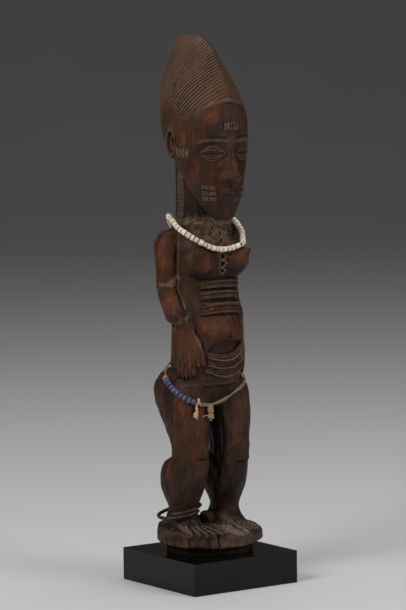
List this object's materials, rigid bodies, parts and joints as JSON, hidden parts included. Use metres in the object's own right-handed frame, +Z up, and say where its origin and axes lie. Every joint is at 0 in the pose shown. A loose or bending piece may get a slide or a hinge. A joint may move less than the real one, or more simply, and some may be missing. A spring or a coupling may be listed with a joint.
{
  "type": "carved statuette",
  "caption": "Carved dark wood standing woman on a round base, with bead necklace, beaded hip string and wire ankle ring, set on a square black block.",
  "frame": {"origin": "middle of the block's underside", "axes": "+Z up, the figure faces -Y, its left side is +X"},
  "size_m": [0.1, 0.1, 0.4331],
  "materials": {
    "carved_wood": "old dark brown wood, blackish patina with worn and dusty places",
    "lacquered_block": "gloss black lacquer",
    "iron": "dark worn wire",
    "glass_white": "opaque creamy white glass",
    "glass_blue": "cobalt blue glass",
    "glass_tan": "opaque tan glass",
    "fibre": "twisted plant fibre cord"
  },
  "bodies": {
    "root": {"plinth": "lacquered_block", "figure": "carved_wood", "ankle_ring": "iron", "necklace_string": "fibre", "necklace_bead_01": "glass_white", "necklace_bead_02": "glass_white", "necklace_bead_03": "glass_white", "necklace_bead_04": "glass_white", "necklace_bead_05": "glass_white", "necklace_bead_06": "glass_white", "necklace_bead_07": "glass_white", "necklace_bead_08": "glass_white", "necklace_bead_09": "glass_white", "necklace_bead_10": "glass_white", "necklace_bead_11": "glass_white", "necklace_bead_12": "glass_white", "necklace_bead_13": "glass_white", "necklace_bead_14": "glass_white", "necklace_bead_15": "glass_white", "necklace_bead_16": "glass_white", "necklace_bead_17": "glass_white", "necklace_bead_18": "glass_white", "necklace_bead_19": "glass_white", "necklace_bead_20": "glass_white", "necklace_bead_21": "glass_white", "necklace_bead_22": "glass_white", "necklace_bead_23": "glass_white", "necklace_bead_24": "glass_white", "necklace_bead_25": "glass_white", "necklace_bead_26": "glass_white", "necklace_bead_27": "glass_white", "necklace_bead_28": "glass_white", "necklace_bead_29": "glass_white", "necklace_bead_30": "glass_white", "necklace_bead_31": "glass_white", "necklace_bead_32": "glass_white", "waist_string": "fibre", "waist_bead_01": "glass_blue", "waist_bead_02": "glass_blue", "waist_bead_03": "glass_blue", "waist_bead_04": "glass_blue", "waist_bead_05": "glass_blue", "waist_bead_06": "glass_blue", "waist_bead_07": "glass_blue", "waist_bead_08": "glass_blue", "waist_bead_09": "glass_blue", "waist_bead_10": "glass_tan"}
  },
  "joints": []
}
